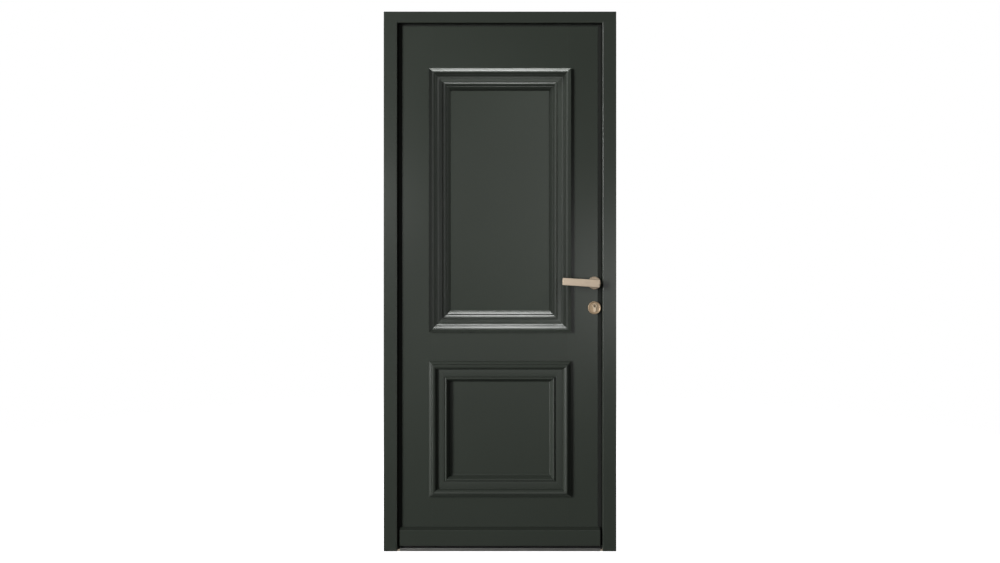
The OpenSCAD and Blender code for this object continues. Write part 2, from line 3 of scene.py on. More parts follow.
import bmesh
import bpy
from mathutils import Matrix, Vector


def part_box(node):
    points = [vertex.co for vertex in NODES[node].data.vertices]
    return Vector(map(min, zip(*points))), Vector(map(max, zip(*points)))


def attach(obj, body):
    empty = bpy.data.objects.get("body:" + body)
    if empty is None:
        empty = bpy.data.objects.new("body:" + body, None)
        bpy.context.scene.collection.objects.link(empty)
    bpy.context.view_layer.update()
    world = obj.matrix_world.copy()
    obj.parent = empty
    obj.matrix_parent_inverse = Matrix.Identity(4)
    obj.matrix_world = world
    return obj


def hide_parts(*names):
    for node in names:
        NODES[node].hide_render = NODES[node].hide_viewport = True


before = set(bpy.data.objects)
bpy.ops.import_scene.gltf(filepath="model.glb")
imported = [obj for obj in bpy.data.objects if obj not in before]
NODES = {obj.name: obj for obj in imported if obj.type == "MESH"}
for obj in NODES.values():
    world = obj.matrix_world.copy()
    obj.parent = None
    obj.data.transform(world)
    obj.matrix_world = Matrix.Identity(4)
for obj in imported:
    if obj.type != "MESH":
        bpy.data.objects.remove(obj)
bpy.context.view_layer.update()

scene = bpy.context.scene
MM = 0.001

# ------------------------------------------------------------------ sizes, mm
Y_OUT, Y_IN, Y_FRAME = -28.0, 28.0, -49.0
X_LEVER, LEVER_Z, KEY_Z = 381.5, 1078.0, 986.0
LAP, Z_REVEAL = 12.0, 2125.0


def span(node):
    lo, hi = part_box(node)
    return [v * 1000 for v in lo], [v * 1000 for v in hi]


# ------------------------------------------------------------------ node helpers
def tree(name):
    mat = bpy.data.materials.new(name)
    mat.use_nodes = True
    nt = mat.node_tree
    nt.nodes.clear()
    out = nt.nodes.new("ShaderNodeOutputMaterial")
    bsdf = nt.nodes.new("ShaderNodeBsdfPrincipled")
    nt.links.new(bsdf.outputs[0], out.inputs[0])
    return mat, nt, bsdf


def node(nt, kind, **values):
    n = nt.nodes.new(kind)
    for key, value in values.items():
        setattr(n, key, value)
    return n


def coords(nt, scale=(1, 1, 1), shift=(0, 0, 0)):
    tex = node(nt, "ShaderNodeTexCoord")
    mapping = node(nt, "ShaderNodeMapping")
    mapping.inputs["Scale"].default_value = scale
    mapping.inputs["Location"].default_value = shift
    nt.links.new(tex.outputs["Object"], mapping.inputs["Vector"])
    return mapping.outputs[0]


def noise(nt, vector, scale, detail=3.0, rough=0.55, distort=0.0):
    n = node(nt, "ShaderNodeTexNoise")
    n.inputs["Scale"].default_value = scale
    n.inputs["Detail"].default_value = detail
    n.inputs["Roughness"].default_value = rough
    n.inputs["Distortion"].default_value = distort
    nt.links.new(vector, n.inputs["Vector"])
    return n.outputs["Fac"]


def remap(nt, value, lo, hi, to_lo, to_hi):
    n = node(nt, "ShaderNodeMapRange")
    for k, v in (("From Min", lo), ("From Max", hi), ("To Min", to_lo), ("To Max", to_hi)):
        n.inputs[k].default_value = v
    nt.links.new(value, n.inputs["Value"])
    return n.outputs["Result"]


def math_node(nt, op, a, b=None):
    n = node(nt, "ShaderNodeMath", operation=op)
    for i, v in enumerate((a, b)):
        if v is None:
            continue
        if isinstance(v, (int, float)):
            n.inputs[i].default_value = v
        else:
            nt.links.new(v, n.inputs[i])
    return n.outputs[0]


def blend_colour(nt, fac, a, b):
    n = node(nt, "ShaderNodeMix", data_type="RGBA", blend_type="MIX")
    nt.links.new(fac, n.inputs["Factor"])
    for i, v in ((6, a), (7, b)):
        if isinstance(v, tuple):
            n.inputs[i].default_value = (*v, 1.0)
        else:
            nt.links.new(v, n.inputs[i])
    return n.outputs[2]


def bump(nt, height, distance, strength=1.0, normal=None):
    n = node(nt, "ShaderNodeBump")
    n.inputs["Strength"].default_value = strength
    n.inputs["Distance"].default_value = distance
    nt.links.new(height, n.inputs["Height"])
    if normal is not None:
        nt.links.new(normal, n.inputs["Normal"])
    return n.outputs[0]


def arris(nt, radius):
    """0 on flat faces, towards 1 where an edge is closer than radius."""
    soft = node(nt, "ShaderNodeBevel", samples=4)
    soft.inputs["Radius"].default_value = radius
    geo = node(nt, "ShaderNodeNewGeometry")
    dot = node(nt, "ShaderNodeVectorMath", operation="DOT_PRODUCT")
    nt.links.new(soft.outputs[0], dot.inputs[0])
    nt.links.new(geo.outputs["Normal"], dot.inputs[1])
    return remap(nt, dot.outputs["Value"], 1.0, 0.93, 0.0, 1.0)


def tint(colour, k):
    return tuple(min(1.0, c * k) for c in colour)


# ------------------------------------------------------------------ materials
PAINT = (0.0385, 0.0455, 0.0372)


def paint(name, along="z", rough=0.30, grain=0.0, colour=PAINT, peel=0.02, seed=0.0):
    """Sprayed satin paint on wood; along is the axis the grain runs in."""
    mat, nt, bsdf = tree(name)
    k = {"x": (1, 14, 14), "z": (14, 14, 1)}[along]
    here = coords(nt, shift=(seed, seed * 0.7, seed * 1.3))
    streak = coords(nt, scale=k, shift=(seed, seed, seed))
    cloud = noise(nt, here, 2.3, 2.0)
    fibre = noise(nt, streak, 34.0, 5.0, 0.62, 0.4)
    pores = noise(nt, streak, 95.0, 3.0, 0.6)
    skin = noise(nt, here, 850.0, 2.0, 0.5)

    # a slow drift of the tone, a little darker along the pores, and lighter on the arrises: partly rubbed wear, partly
    # a painted edge highlight
    tone = blend_colour(nt, remap(nt, cloud, 0.3, 0.7, 0.0, 1.0), tint(colour, 0.955), tint(colour, 1.045))
    if grain > 0:
        dark = remap(nt, pores, 0.42, 0.62, 0.30 * min(1.0, grain * 2), 0.0)
        tone = blend_colour(nt, dark, tone, tint(colour, 0.62))
    # painted edge highlight mixed with rubbing: arrises lighten towards a brighter copy of the paint, broken up by
    # noise
    wear_and_edge_sheen = math_node(nt, "MULTIPLY", arris(nt, 0.0016), remap(nt, noise(nt, here, 38.0, 4.0), 0.42, 0.68, 0.0, 0.16))
    tone = blend_colour(nt, wear_and_edge_sheen, tone, tint(colour, 1.75))
    nt.links.new(tone, bsdf.inputs["Base Color"])

    play = 0.012 + 0.03 * grain
    sheen = remap(nt, fibre, 0.3, 0.7, rough - play, rough + play)
    nt.links.new(sheen, bsdf.inputs["Roughness"])
    bsdf.inputs["IOR"].default_value = 1.46

    normal = bump(nt, skin, peel * MM * 2.0, 0.55)
    normal = bump(nt, fibre, (0.010 + 0.16 * grain) * MM, 0.6, normal)
    if grain > 0:
        normal = bump(nt, pores, 0.12 * grain * MM, 0.8, normal)
    nt.links.new(normal, bsdf.inputs["Normal"])
    return mat


def metal(name, colour, rough, along="x", brush=0.6, metallic=1.0, fine=420.0):
    """Satin metal with a fine brushed grain along one axis."""
    mat, nt, bsdf = tree(name)
    k = {"x": (0.05, 1, 1), "y": (1, 0.05, 1), "z": (1, 1, 0.05), "round": (1, 1, 1)}[along]
    lines = noise(nt, coords(nt, scale=k), fine * 4, 4.0, 0.6)
    cloud = noise(nt, coords(nt), 26.0, 3.0)
    tone = blend_colour(nt, remap(nt, cloud, 0.3, 0.7, 0.0, 1.0), tint(colour, 0.94), tint(colour, 1.05))
    tone = blend_colour(nt, remap(nt, lines, 0.35, 0.65, 0.0, 0.35 * brush), tone, tint(colour, 0.80))
    # painted highlight: the arrises lighten towards a brighter copy of the metal colour
    tone = blend_colour(nt, remap(nt, arris(nt, 0.0009), 0.0, 1.0, 0.0, 0.35), tone, tint(colour, 1.18))
    nt.links.new(tone, bsdf.inputs["Base Color"])
    nt.links.new(remap(nt, lines, 0.3, 0.7, rough - 0.05, rough + 0.07), bsdf.inputs["Roughness"])
    bsdf.inputs["Metallic"].default_value = metallic
    nt.links.new(bump(nt, lines, 0.012 * MM * brush, 0.6), bsdf.inputs["Normal"])
    return mat


def plain(name, colour, rough, grit=300.0, depth=0.03, vary=0.12, gloss=0.5):
    """Moulded plastic or rubber: a fine matt skin with a little dust."""
    mat, nt, bsdf = tree(name)
    skin = noise(nt, coords(nt), grit, 4.0, 0.6)
    dust = noise(nt, coords(nt), 17.0, 4.0, 0.6)
    tone = blend_colour(nt, remap(nt, dust, 0.35, 0.7, 0.0, 1.0), tint(colour, 1 - vary), tint(colour, 1 + vary))
    # painted highlight: the arrises lighten towards a brighter copy of the colour
    tone = blend_colour(nt, remap(nt, arris(nt, 0.0008), 0.0, 1.0, 0.0, 0.3), tone, tint(colour, 1.5))
    nt.links.new(tone, bsdf.inputs["Base Color"])
    nt.links.new(remap(nt, dust, 0.3, 0.7, rough - 0.05, rough + 0.08), bsdf.inputs["Roughness"])
    bsdf.inputs["Specular IOR Level"].default_value = gloss
    nt.links.new(bump(nt, skin, depth * MM, 0.6), bsdf.inputs["Normal"])
    return mat


M = {
    "wood_z": paint("paint_upright", "z"),
    "wood_x": paint("paint_level", "x", seed=3.1),
    "upper_z": paint("paint_grained_upright", "z", rough=0.32, grain=0.12, seed=5.7),
    "upper_x": paint("paint_grained_level", "x", rough=0.32, grain=0.12, seed=8.3),
    # the field's paint is a lighter, greener copy of the door paint; its extra lightness is painted light standing in
    # for the brighter light on the field
    "upper_field": paint("paint_grained_field", "z", rough=0.45, grain=0.30, seed=1.9, colour=(0.0415, 0.0528, 0.0392)),
    "lower_z": paint("paint_matt_upright", "z", rough=0.40, seed=2.7),
    "lower_x": paint("paint_matt_level", "x", rough=0.40, seed=4.9),
    "handle": metal("champagne_satin", (0.72, 0.588, 0.445), 0.48, "x", brush=0.5, metallic=0.45),
    "rose": metal("champagne_turned", (0.56, 0.45, 0.336), 0.44, "round", brush=0.4, metallic=0.5),
    "key_rose": metal("champagne_dished", (0.485, 0.357, 0.23), 0.42, "round", brush=0.4, metallic=0.5),
    "brass": metal("cylinder_satin", (0.80, 0.66, 0.48), 0.38, "round", metallic=0.6, fine=600.0),
    "plug": metal("plug_satin", (0.40, 0.30, 0.20), 0.42, "round", metallic=0.6, fine=600.0),
    "steel": metal("brushed_steel", (0.52, 0.52, 0.51), 0.34, "z"),
    "hinge": metal("hinge_steel", (0.50, 0.50, 0.49), 0.32, "z", brush=0.4),
    "screw": metal("screw_steel", (0.60, 0.60, 0.58), 0.30, "round", fine=900.0),
    "alu": metal("threshold_aluminium", (0.66, 0.66, 0.63), 0.38, "x"),
    "seal": plain("seal_rubber", (0.0135, 0.0152, 0.0128), 0.75, gloss=0.3),
    "break": plain("break_plastic", (0.016, 0.016, 0.016), 0.70, depth=0.02),
    "cap": plain("end_cap_plastic", (0.46, 0.39, 0.30), 0.55, depth=0.02),
}


def dress(obj, key, slot=None):
    obj.data.materials.clear()
    obj.data.materials.append(M[key])


# ------------------------------------------------------------------ mesh helpers
def put(name, bm, key, body, stands_for=(), angle=32.0):
    bmesh.ops.recalc_face_normals(bm, faces=bm.faces)
    mesh = bpy.data.meshes.new(name)
    bm.to_mesh(mesh)
    bm.free()
    for p in mesh.polygons:
        p.use_smooth = True
    mesh.set_sharp_from_angle(angle=math.radians(angle))
    obj = bpy.data.objects.new(name, mesh)
    scene.collection.objects.link(obj)
    obj.data.materials.append(M[key])
    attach(obj, body)
    if stands_for:
        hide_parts(*stands_for)
    return obj


def ell(cx, cy, rx, ry, a0, a1, n):
    return [
        (cx + rx * math.cos(math.radians(a0 + (a1 - a0) * i / n)), cy + ry * math.sin(math.radians(a0 + (a1 - a0) * i / n)))
        for i in range(n + 1)
    ]


def soften(points, radius=0.7, least=18.0, steps=3, keep=0):
    """A closed outline with each corner turned into a short curve, as a film of paint leaves it; the last keep corners stay sharp."""
    out, n = [], len(points)
    for i, p in enumerate(points):
        a, b = Vector(points[i - 1]), Vector(points[(i + 1) % n])
        p = Vector(p)
        u, v = (a - p), (b - p)
        if u.length < 1e-6 or v.length < 1e-6:
            continue
        turn = 180 - math.degrees(u.angle(v))
        if turn < least or i >= n - keep:
            out.append(tuple(p))
            continue
        t = min(radius, 0.42 * u.length, 0.42 * v.length)
        s, e = p + u.normalized() * t, p + v.normalized() * t
        for j in range(steps + 1):
            f = j / steps
            out.append(tuple(s * (1 - f) ** 2 + p * 2 * f * (1 - f) + e * f * f))
    return out


# ------------------------------------------------------------------ mouldings
FOOT = [(12.4, -11), (12.4, 0), (0, 0)]
UPPER = (
    [(0, 12)]
    + ell(1.6, 12.4, 1.6, 1.6, 172, 128, 5)
    + ell(15, 21, 3.4, 3.8, 128, 62, 9)
    + [(18.4, 23.3), (20.5, 21.6), (22.6, 19.6), (24.6, 17.5), (25.8, 16.2), (26.2, 13.6), (27.6, 13.2), (29.4, 11.0), (31.4, 9.0), (33.6, 7.4), (36, 6.2), (38.6, 5.4), (41.4, 5), (53.6, 5), (54.2, 3.2), (56.4, 3.2), (57, 5), (57.4, 8.4)]
    + ell(61.8, 8.6, 4.4, 4.4, 165, 50, 10)
    + [(70, 7), (70.3, 4.4), (72.2, 4.2), (73.2, 6.4), (74.2, 6), (83.6, -3.6), (84.4, -8), (86, -9.5), (87, -11)]
    + FOOT
)
LOWER = (
    [(0, 8)]
    + ell(1.6, 8.6, 1.6, 1.6, 172, 122, 5)
    + [(3.4, 11.4), (6.2, 13.2), (9.2, 14.9), (10.4, 15.3), (11.1, 14.8), (12, 14.8)]
    + ell(16.8, 15, 4.6, 9, 172, 92, 14)
    + ell(16.8, 9, 15.8, 15, 88, 8, 18)
    + [(33, 7.4), (34.6, 7.4), (35, 8), (61.8, 8), (62.3, 6.2), (63.8, 6.2), (64.2, 8.2)]
    + ell(69.2, 8.4, 5, 4.6, 172, 30, 12)
    + [(78.6, 2.6), (80.6, -1.4), (82.4, -5), (83.2, -8.6), (86, -9.4), (87, -11)]
    + FOOT
)
INSIDE = (
    [(0, 5)]
    + ell(8, 5, 8, 8, 172, 90, 10)
    + [(14, 12.4), (17, 11.1), (20, 9.6), (23, 8.0), (26, 6.4), (28, 5.5), (30, 5), (44, 5), (44.6, 7)]
    + ell(48, 6, 3.4, 3.4, 160, 30, 8)
    + [(57, 1.6), (60, -4), (60, -11)]
    + FOOT
)


def moulding(name, section, side, key, inside=False, pieces=40):
    """One mitred length, cut in the box of the CAD node of that name."""
    lo, hi = span(name)
    start, end = (lo[0], hi[0]) if side in ("top", "bottom") else (lo[2], hi[2])
    start, end = start - 0.1, end + 0.1
    outline = soften(section, keep=3)
    rings = []
    for i in range(pieces + 1):
        ring = []
        for w, h in outline:
            s0, s1 = start + w + 0.1, end - w - 0.1
            s = s0 + (s1 - s0) * i / pieces
            y = Y_IN + h if inside else Y_OUT - h
            if side == "bottom":
                p = (s, y, lo[2] + w)
            elif side == "top":
                p = (s, y, hi[2] - w)
            elif side == "left":
                p = (lo[0] + w, y, s)
            else:
                p = (hi[0] - w, y, s)
            ring.append(p)
        rings.append(ring)
    bm = bmesh.new()
    rows = [[bm.verts.new([c * MM for c in p]) for p in ring] for ring in rings]
    n = len(outline)
    for a, b in zip(rows, rows[1:]):
        for j in range(n):
            bm.faces.new((a[j], a[(j + 1) % n], b[(j + 1) % n], b[j]))
    bm.faces.new(rows[0])
    bm.faces.new(rows[-1][::-1])
    return put(name + "_shaped", bm, key, "leaf", (name,), 28.0)


UPPER_PIECES = []
for side in ("top", "bottom", "left", "right"):
    axis = "x" if side in ("top", "bottom") else "z"
    UPPER_PIECES.append(moulding("upper_moulding_" + side, UPPER, side, "upper_" + axis))
    moulding("lower_moulding_" + side, LOWER, side, "lower_" + axis)
    moulding("inside_upper_moulding_" + side, INSIDE, side, "wood_" + axis, True)
    moulding("inside_lower_moulding_" + side, INSIDE, side, "wood_" + axis, True)


# ------------------------------------------------------------------ CAD nodes that stay
def ease(name, key, width=0.7, angle=34.0):
    """Eases the edges of a CAD node with modifiers and gives it its material."""
    obj = NODES[name]
    obj.data.materials.clear()
    obj.data.materials.append(M[key])
    for p in obj.data.polygons:
        p.use_smooth = True
    weld = obj.modifiers.new("weld", "WELD")
    weld.merge_threshold = 2e-6
    flat = obj.modifiers.new("flat", "DECIMATE")
    flat.decimate_type = "DISSOLVE"
    flat.angle_limit = math.radians(0.6)
    bev = obj.modifiers.new("ease", "BEVEL")
    bev.width = width * MM
    bev.segments = 2
    bev.limit_method = "ANGLE"
    bev.angle_limit = math.radians(angle)
    bev.use_clamp_overlap = True
    bev.miter_outer = "MITER_ARC"
    even = obj.modifiers.new("even", "WEIGHTED_NORMAL")
    even.mode = "FACE_AREA_WITH_ANGLE"
    even.weight = 90


for name in ("hinge_jamb", "lock_jamb"):
    ease(name, "wood_z")
for name in ("hinge_stile", "lock_stile"):
    ease(name, "wood_z", 0.2)
for name in ("top_rail", "lock_rail", "bottom_rail"):
    ease(name, "wood_x", 0.2)
for name in ("head", "weatherboard"):
    ease(name, "wood_x")
ease("upper_panel", "upper_field", 0.3)
ease("lower_panel", "wood_z", 0.3)
ease("threshold_end_caps", "cap", 0.8)
ease("bottom_seal", "seal", 1.0)
for name in ("strike_plate", "latch_keeper", "lock_case", "lock_faceplate", "latch_bolt", "dead_bolt", "lock_follower", "spindle"):
    ease(name, "steel", 0.35)
for name in ("top_hinge_frame_half", "middle_hinge_frame_half", "bottom_hinge_frame_half", "top_hinge_leaf_half", "middle_hinge_leaf_half", "bottom_hinge_leaf_half"):
    ease(name, "hinge", 0.5)
ease("hinge_pins", "screw", 0.2)
ease("cylinder_body", "brass", 0.3)
ease("cylinder_plug", "plug", 0.3)


# ------------------------------------------------------------------ fittings in their finer shape
def loft(bm, rings, closed=True, cap_first=True, cap_last=True):
    """Faces between rings of points in mm, one ring after the other."""
    rows = [[bm.verts.new([c * MM for c in p]) for p in ring] for ring in rings]
    n = len(rows[0])
    for a, b in zip(rows, rows[1:]):
        for k in range(n if closed else n - 1):
            bm.faces.new((a[k], a[(k + 1) % n], b[(k + 1) % n], b[k]))
    if cap_first:
        bm.faces.new(rows[0][::-1])
    if cap_last:
        bm.faces.new(rows[-1])
    return rows


def turned(bm, profile, x, z, side=1, steps=96, hollow=False):
    """A shape turned about an axis along Y; profile is [radius, y], side -1 mirrors it to the inside."""
    rings = []
    for rad, y in profile:
        rings.append([(x + rad * math.cos(2 * math.pi * k / steps), side * y, z + rad * math.sin(2 * math.pi * k / steps)) for k in range(steps)])
    if hollow:
        rings.append(rings[0])
        rows = [[bm.verts.new([c * MM for c in p]) for p in ring] for ring in rings[:-1]]
        rows.append(rows[0])
        for a, b in zip(rows, rows[1:]):
            for k in range(steps):
                bm.faces.new((a[k], a[(k + 1) % steps], b[(k + 1) % steps], b[k]))
    else:
        loft(bm, rings)


def shrink(outline, by):
    """A convex outline moved inwards."""
    out, n = [], len(outline)
    area = sum(outline[k][0] * outline[(k + 1) % n][1] - outline[(k + 1) % n][0] * outline[k][1] for k in range(n))
    turn = 1 if area > 0 else -1
    for k in range(n):
        a, p, b = Vector(outline[k - 1]), Vector(outline[k]), Vector(outline[(k + 1) % n])
        d = ((p - a).normalized() + (b - p).normalized()).normalized()
        out.append(tuple(p + Vector((-d.y, d.x)) * by * turn))
    return out


def lever(name, side):
    """A flat bar with rounded edges on a turned neck that widens where it meets the bar."""
    h, long = 15.0, 132.0
    outline = ell(-long + 3, h - 3.7, 3, 3, 180, 90, 6) + ell(13.5, h - 3, 3, 3, 90, 0, 8) + ell(11.5, -h + 4.5, 5, 5, 0, -90, 10) + ell(-long + 3, -h + 3.7, 3, 3, 270, 180, 6)
    tilt = math.radians(3.5)
    rings = []
    for front, rad in ((False, 1.2), (True, 1.7)):
        steps = 5
        for k in range(steps + 1):
            t = math.pi / 2 * (k / steps)
            t = t if front else math.pi / 2 - t
            by = rad * (1 - math.cos(t))
            y = -86 + rad * (1 - math.sin(t)) if front else -76 - rad * (1 - math.sin(t))
            ring = []
            for a, b in shrink(outline, by):
                ring.append((X_LEVER + a * math.cos(tilt) + b * math.sin(tilt), side * y, LEVER_Z - a * math.sin(tilt) + b * math.cos(tilt)))
            rings.append(ring)
    bm = bmesh.new()
    loft(bm, rings)
    neck = [(10.6, -32), (10.6, -39.6), (11, -40.2), (11, -64), (11.15, -67), (11.6, -70), (12.4, -72.6), (13.5, -74.8), (14.3, -76.2), (14.3, -77.5)]
    turned(bm, neck, X_LEVER, LEVER_Z, side)
    put(name + "_shaped", bm, "handle", "lever", (name,), 40.0)


def lever_rose(name, side):
    """A turned cover with a rounded rim, a fine groove in its face and a bore for the neck."""
    profile = [(11.3, -28), (26, -28)]
    profile += [(23.5 + 2.5 * math.cos(math.radians(a)), -35 - 2.5 * math.sin(math.radians(a))) for a in range(0, 91, 15)]
    profile += [(22.2, -37.5), (21.9, -37.1), (21.3, -37.1), (21.0, -37.5), (12.1, -37.5), (11.6, -37.3), (11.3, -36.9)]
    bm = bmesh.new()
    turned(bm, profile, X_LEVER, LEVER_Z, side, 128, True)
    put(name + "_shaped", bm, "rose", "leaf", (name,), 32.0)


def mesh_object(name, bm):
    bmesh.ops.recalc_face_normals(bm, faces=bm.faces)
    mesh = bpy.data.meshes.new(name)
    bm.to_mesh(mesh)
    bm.free()
    obj = bpy.data.objects.new(name, mesh)
    scene.collection.objects.link(obj)
    return obj


def carve(bm, cutter):
    """The first mesh with the second taken out of it."""
    a, b = mesh_object("carve_from", bm), mesh_object("carve_with", cutter)
    cut = a.modifiers.new("cut", "BOOLEAN")
    cut.operation, cut.solver, cut.object = "DIFFERENCE", "EXACT", b
    done = a.evaluated_get(bpy.context.evaluated_depsgraph_get()).to_mesh()
    out = bmesh.new()
    out.from_mesh(done)
    for o in (a, b):
        data = o.data
        bpy.data.objects.remove(o)
        bpy.data.meshes.remove(data)
    return out


def cylinder_outline(grow):
    """The outline of the key cylinder, round above and a web below, round its key axis."""
    big, web = 8.5 + grow, 5 + grow
    meet = math.degrees(math.asin(web / big))
    return ell(0, 0, big, big, -90 + meet, 270 - meet, 40) + ell(0, -19.5, web, web, 180, 360, 20)


def key_rose(name, side):
    """A turned cover with a raised rim and a dished face, cut out for the cylinder."""
    profile = [(26, -28)]
    profile += [(23.7 + 2.3 * math.cos(math.radians(a)), -35.2 - 2.3 * math.sin(math.radians(a))) for a in range(0, 91, 15)]
    profile += [(22.9, -37.45), (22.2, -37.1), (21.6, -36.5), (20.8, -36.1), (19.6, -36.0), (6.0, -36.0)]
    bm = bmesh.new()
    turned(bm, profile, X_LEVER, KEY_Z - 8, side, 128)
    cutter = bmesh.new()
    loft(cutter, [[(X_LEVER + a, side * y, KEY_Z + b) for a, b in cylinder_outline(0.6)] for y in (-42, -24)])
    put(name + "_shaped", carve(bm, cutter), "key_rose", "leaf", (name,), 32.0)


for side, where in ((1, "outside"), (-1, "inside")):
    lever(where + "_lever", side)
    lever_rose(where + "_lever_rose", side)
    key_rose(where + "_key_rose", side)


def screw(bm, x, y, z, to, d, long, head_d, head_h):
    """A countersunk screw with a cross recess; its head lies at x and its shank runs towards to."""
    arm, half, deep, n = 0.31 * head_d, 0.075 * head_d, 0.75 * head_h, 32
    cross = [(arm, -half), (arm, half), (half, half), (half, arm), (-half, arm), (-half, half), (-arm, half), (-arm, -half), (-half, -half), (-half, -arm), (half, -arm), (half, -half)]
    at = lambda depth, a, b: [c * MM for c in (x + to * depth, y + a, z + b)]
    circle = lambda rad: [(rad * math.cos(2 * math.pi * k / n), rad * math.sin(2 * math.pi * k / n)) for k in range(n)]
    rows = []
    for depth, rad in ((0, head_d / 2 - 0.15), (0.15, head_d / 2), (head_h, d / 2), (long - 4, d / 2), (long, d * 0.18)):
        rows.append([bm.verts.new(at(depth, a, b)) for a, b in circle(rad)])
    for a, b in zip(rows, rows[1:]):
        for k in range(n):
            bm.faces.new((a[k], a[(k + 1) % n], b[(k + 1) % n], b[k]))
    bm.faces.new(rows[-1])
    lip = [bm.verts.new(at(0, a, b)) for a, b in cross]
    floor_ = [bm.verts.new(at(deep, a * 0.62, b * 0.62)) for a, b in cross]
    m = len(cross)
    for k in range(m):
        bm.faces.new((lip[k], lip[(k + 1) % m], floor_[(k + 1) % m], floor_[k]))
    bm.faces.new(floor_)
    edges = [bm.edges.get((rows[0][k], rows[0][(k + 1) % n])) for k in range(n)]
    edges += [bm.edges.get((lip[k], lip[(k + 1) % m])) for k in range(m)]
    bmesh.ops.triangle_fill(bm, use_beauty=True, use_dissolve=False, edges=edges)


def screws(name, body, items):
    bm = bmesh.new()
    for item in items:
        screw(bm, *item)
    put(name + "_shaped", bm, "screw", body, (name,), 25.0)


X_CHEEK, X_LEAF, Y_LOCK = 432.5, 428.5, 5.0
LATCH_Z, BOLT_Z = LEVER_Z + 25, LEVER_Z - 47
hinge_rows = [(y, z0 + f * 130) for z0 in (200, 1000, 1790) for y, f in ((6, 0.15), (18, 0.5), (6, 0.85))]
screws("strike_screws", "frame", [(X_CHEEK + 0.1, Y_LOCK, z, 1, 3.9, 24.8, 7.3, 1.9) for z in (BOLT_Z - 35, LATCH_Z + 38)])
screws("frame_hinge_screws", "frame", [(-X_CHEEK - 0.1, y, z, -1, 4.4, 27.8, 8.2, 1.9) for y, z in hinge_rows])
screws("leaf_hinge_screws", "leaf", [(-X_LEAF + 0.1, y, z, 1, 4.4, 27.8, 8.2, 1.9) for y, z in hinge_rows])
screws("faceplate_screws", "leaf", [(X_LEAF - 0.1, Y_LOCK, z, -1, 3.9, 29.8, 7.3, 1.9) for z in (925, LEVER_Z + 68)])
screws("cylinder_screw", "leaf", [(X_LEAF - 0.1, Y_LOCK, KEY_Z - 20.5, -1, 4.9, 50.5, 8.3, 1.9)])


def seal_ring(name):
    """The rubber seal up one edge of the leaf, across its top and down the other: a broad ribbed lip and a strip behind the stop."""
    lo, hi = span(name)
    foot, inner, wide = lo[2], 395.6, 411.3
    section = [(inner, -18), (inner, -26.9), (inner + 0.15, -27.25), (inner + 0.5, -27.4)]
    for x in (400.6, 405.6):
        section += [(x, -27.4), (x + 0.15, -27.1), (x + 0.55, -27.1), (x + 0.7, -27.4)]
    section += [(wide - 1.2, -27.4), (wide - 0.5, -27.2), (wide - 0.1, -26.7), (wide, -26), (wide, -22.9), (wide + 0.3, -22.5), (wide + 0.9, -22.4)]
    section += [(hi[0] - 1.0, -22.4), (hi[0] - 0.3, -22.1), (hi[0], -21.4), (hi[0], -18)]
    rise = lambda x: 2116.6 + (x - inner) * (hi[2] - 2116.6) / (hi[0] - inner) if x > wide + 1 else 2116.6 + (x - inner) * (Z_REVEAL - 1.2 - 2116.6) / (wide - inner)
    rings = []
    for sx, upper in ((-1, False), (-1, True), (1, True), (1, False)):
        rings.append([(sx * x, y, rise(x) if upper else foot) for x, y in section])
    bm = bmesh.new()
    loft(bm, rings)
    put(name + "_shaped", bm, "seal", "leaf", (name,), 35.0)


seal_ring("leaf_seal")


def grooved(y0, y1, top, pitch, wide, deep):
    """The points of a flat from y0 to y1 with small grooves in it."""
    out, y = [], y0
    while y + wide < y1:
        out += [(y, top), (y + 0.25 * wide, top - deep), (y + 0.75 * wide, top - deep), (y + wide, top)]
        y += pitch
    return out


def sill(name):
    """The drawn aluminium threshold: an upright lip outside and a grooved tread under the leaf."""
    lo, hi = span(name)
    bm = bmesh.new()
    top, y0 = hi[2], Y_FRAME + 1
    lip = [(y0, 0), (y0, top - 0.9), (y0 + 0.3, top - 0.35), (y0 + 0.9, top), (y0 + 2.8, top), (y0 + 3.3, top - 0.3), (y0 + 3.6, top - 0.9), (y0 + 3.7, 4), (y0 + 3.7, 0)]
    loft(bm, [[(x, a, b) for a, b in lip] for x in (-403.0, 403.0)])
    tread = [(-15, 0), (-15, top - 0.4), (-14.6, top)] + grooved(-12.6, hi[1] - 2, top, 4.0, 1.8, 0.7)
    tread += [(hi[1] - 0.5, top), (hi[1], top - 0.5), (hi[1], 0)]
    loft(bm, [[(x, a, b) for a, b in tread] for x in (lo[0], hi[0])])
    put(name + "_shaped", bm, "alu", "frame", (name,), 20.0)


def sill_break(name):
    """The black plastic length between them, with a ribbed drain channel and a rounded nose."""
    lo, hi = span(name)
    bm = bmesh.new()
    y0 = Y_FRAME + 4.9
    front = [(y0, 0), (y0, 3.8)] + grooved(y0 + 1.0, y0 + 5.2, 3.8, 2.0, 1.2, 0.6) + [(y0 + 5.15, 3.8), (y0 + 5.15, 0)]
    loft(bm, [[(x, a, b) for a, b in front] for x in (-402.9, 402.9)])
    floor_ = [(y0 + 5.2, 0), (y0 + 5.2, 3.8)] + grooved(y0 + 6.4, -25, 3.8, 2.4, 1.4, 0.6) + [(-23.2, 3.8), (-22.9, 3.8), (-22.9, 0)]
    loft(bm, [[(x, a, b) for a, b in floor_] for x in (-412.3, 412.3)])
    nose = [(-22.8, 0), (-22.8, hi[2] - 1.2), (-22.45, hi[2] - 0.35), (-21.6, hi[2])] + grooved(-20.4, -16, hi[2], 2.4, 1.2, 0.5) + [(-15.1, hi[2]), (-15.1, 0)]
    loft(bm, [[(x, a, b) for a, b in nose] for x in (lo[0], hi[0])])
    put(name + "_shaped", bm, "break", "frame", (name,), 20.0)


sill("threshold")
sill_break("threshold_break")

